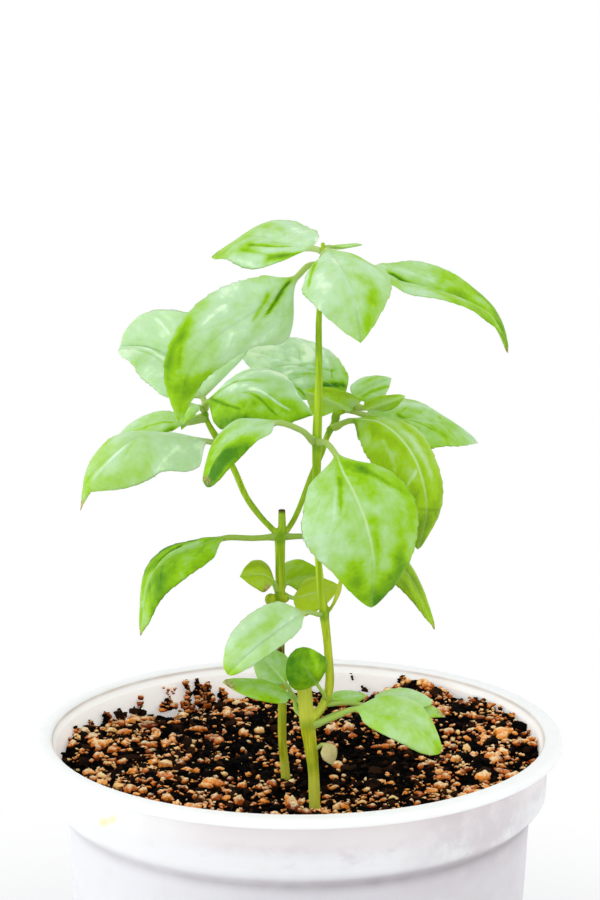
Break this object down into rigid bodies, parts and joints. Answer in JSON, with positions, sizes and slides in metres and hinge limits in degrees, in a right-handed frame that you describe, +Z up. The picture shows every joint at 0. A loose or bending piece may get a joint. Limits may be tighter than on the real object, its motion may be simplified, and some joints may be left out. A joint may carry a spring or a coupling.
{
  "type": "potted basil plant",
  "caption": "Young basil plant with broad toothed leaves on upright green stems, rooted in peaty soil in a round white plastic pot with a rolled rim.",
  "frame": {"origin": "centre of the pot's flat bottom", "axes": "+Z up, +X to the right and +Y away from the viewer as pictured"},
  "size_m": [0.1514, 0.1514, 0.277],
  "materials": {
    "white_plastic": "satin moulded polypropylene, slightly soiled",
    "peat": "loose peat with tan bark and clay grains",
    "stem_green": "satin green stem with darker nodes",
    "leaf_green": "satin quilted basil leaf, thin and translucent",
    "leaf_pale": "satin young leaf, paler and more translucent",
    "leaf_dry": "dry curled leaf scrap"
  },
  "bodies": {
    "root": {"pot": "white_plastic", "soil": "peat", "stem_front": "stem_green", "stem_rear": "stem_green", "leaf_top_back": "leaf_green", "leaf_top_front": "leaf_green", "leaf_top_left": "leaf_green", "leaf_top_right": "leaf_green", "leaf_top_young": "leaf_pale", "leaf_left_back": "leaf_pale", "leaf_left_inner": "leaf_green", "leaf_left_front": "leaf_pale", "leaf_left_upper": "leaf_pale", "leaf_left_young_front": "leaf_pale", "leaf_left_young_back": "leaf_pale", "leaf_mid_left": "leaf_green", "leaf_mid_front": "leaf_green", "leaf_right_far": "leaf_green", "leaf_right_under": "leaf_green", "leaf_right_pale": "leaf_pale", "leaf_right_young": "leaf_green", "leaf_right_back": "leaf_green", "leaf_right_front": "leaf_green", "leaf_rear_left": "leaf_green", "leaf_rear_right": "leaf_green", "leaf_bud_left": "leaf_pale", "leaf_bud_back": "leaf_green", "leaf_bud_right": "leaf_pale", "leaf_low_left": "leaf_pale", "leaf_low_round": "leaf_green", "leaf_low_inner": "leaf_green", "leaf_low_ground": "leaf_green", "leaf_low_small": "leaf_green", "leaf_low_right": "leaf_pale", "leaf_low_back": "leaf_pale", "leaf_low_curled": "leaf_pale", "leaf_dry": "leaf_dry"}
  },
  "joints": []
}
